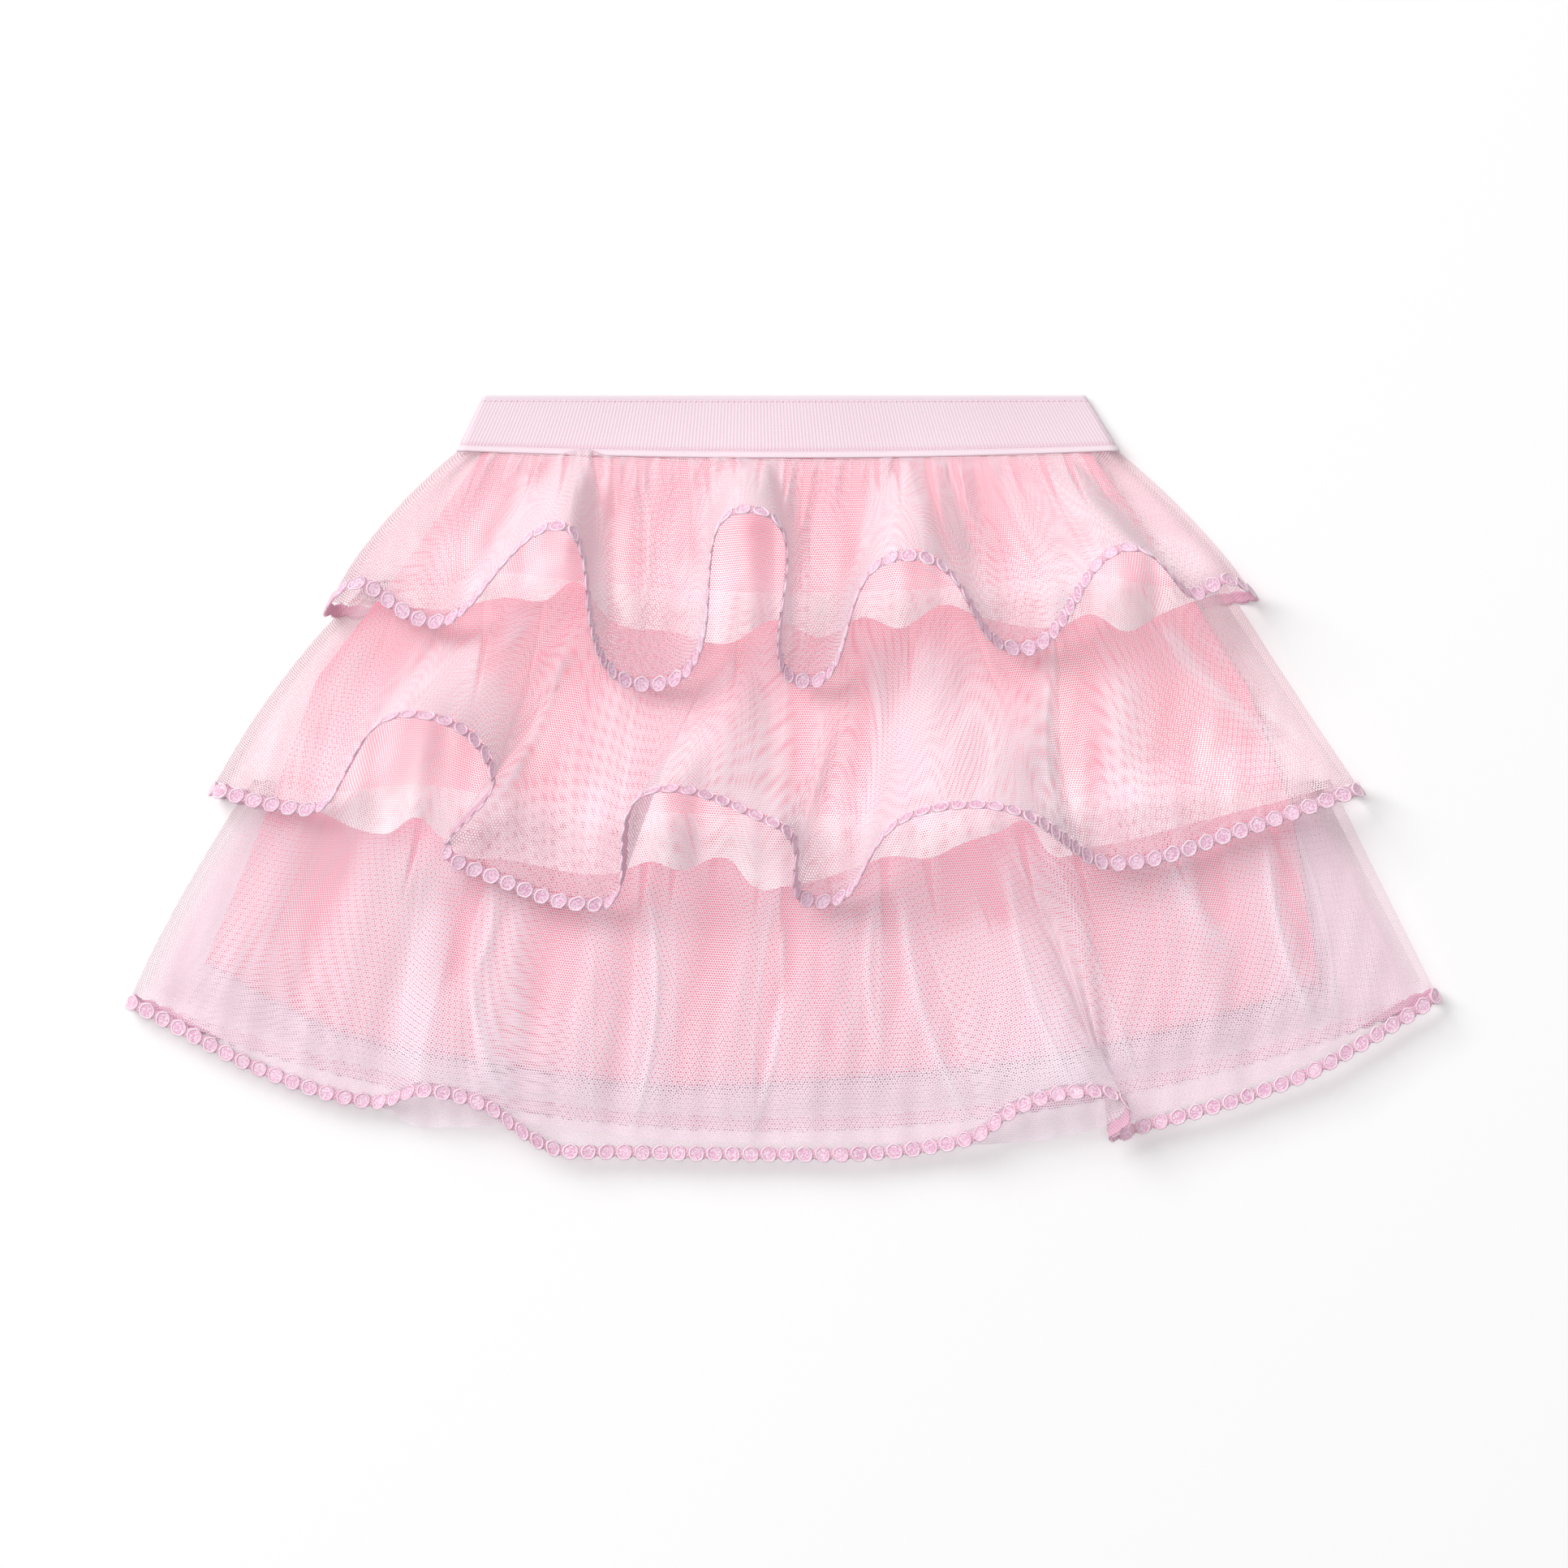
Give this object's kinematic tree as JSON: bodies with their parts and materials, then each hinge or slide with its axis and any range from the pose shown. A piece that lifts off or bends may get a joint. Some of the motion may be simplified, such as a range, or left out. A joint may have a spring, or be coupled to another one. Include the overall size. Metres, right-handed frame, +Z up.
{
  "type": "tulle skirt",
  "caption": "Small child's pull-on skirt of gathered tulle tiers over an opaque lining, with an elastic waistband and embroidered hems, laid out flat.",
  "frame": {"origin": "centre of the skirt's box, on the surface that it lies on", "axes": "+X across the skirt, +Y from the hem towards the waistband, +Z up from the surface, through the back and then the front"},
  "size_m": [0.4664, 0.2714, 0.0551],
  "materials": {
    "waistband_elastic": "ribbed elastic, matt",
    "lining_knit": "fine opaque knit, matt",
    "tulle_net": "open net with a slight sheen",
    "under_net": "open net with a raw edge",
    "edging_embroidery": "glossy embroidery thread"
  },
  "bodies": {
    "root": {"waistband": "waistband_elastic", "lining": "lining_knit", "upper_tier_tulle": "tulle_net", "upper_tier_under_net": "under_net", "upper_tier_edging": "edging_embroidery", "middle_tier_tulle": "tulle_net", "middle_tier_under_net": "under_net", "middle_tier_edging": "edging_embroidery", "lower_tier_tulle": "tulle_net", "lower_tier_under_net": "under_net", "lower_tier_edging": "edging_embroidery"}
  },
  "joints": []
}
